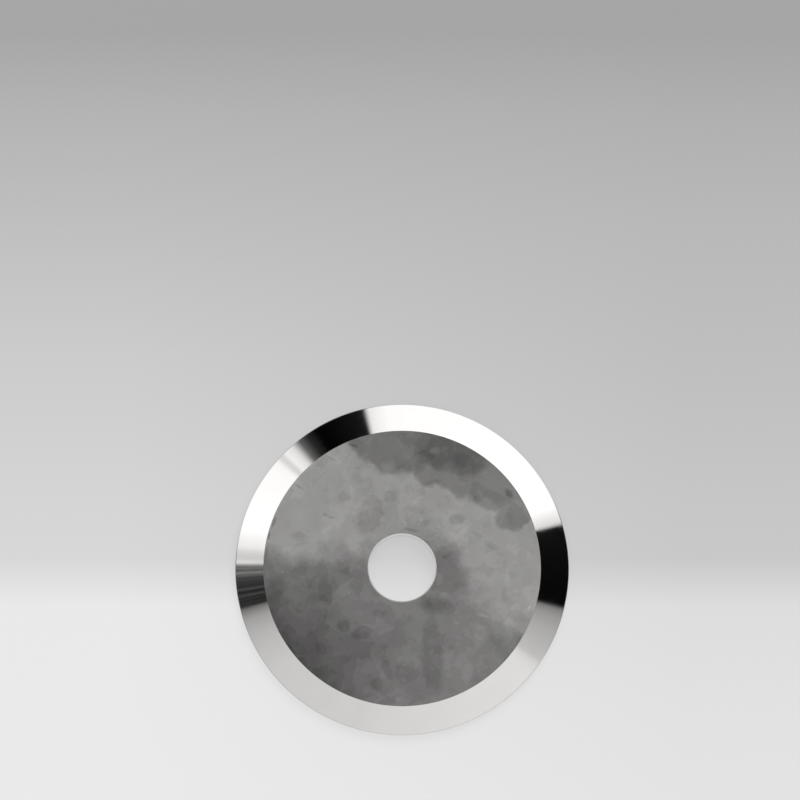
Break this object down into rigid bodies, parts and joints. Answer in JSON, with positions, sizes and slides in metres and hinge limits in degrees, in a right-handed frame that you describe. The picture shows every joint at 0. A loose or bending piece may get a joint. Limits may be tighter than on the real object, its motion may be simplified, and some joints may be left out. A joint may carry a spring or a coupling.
{
  "type": "fiber cleaver blade",
  "caption": "Round hardmetal scoring wheel with lapped faces, a wide polished bevel, a fine cutting edge and a plain central bore.",
  "frame": {"origin": "centre of the bore in the plane of the cutting edge, halfway through the thickness", "axes": "+Z along the bore axis, out of the upper flat face; X and Y lie in the plane of the cutting edge"},
  "size_m": [0.02, 0.02, 0.001],
  "materials": {
    "carbide": "satin lapped faces, mirror polished bevel"
  },
  "bodies": {
    "root": {"blade": "carbide"}
  },
  "joints": []
}
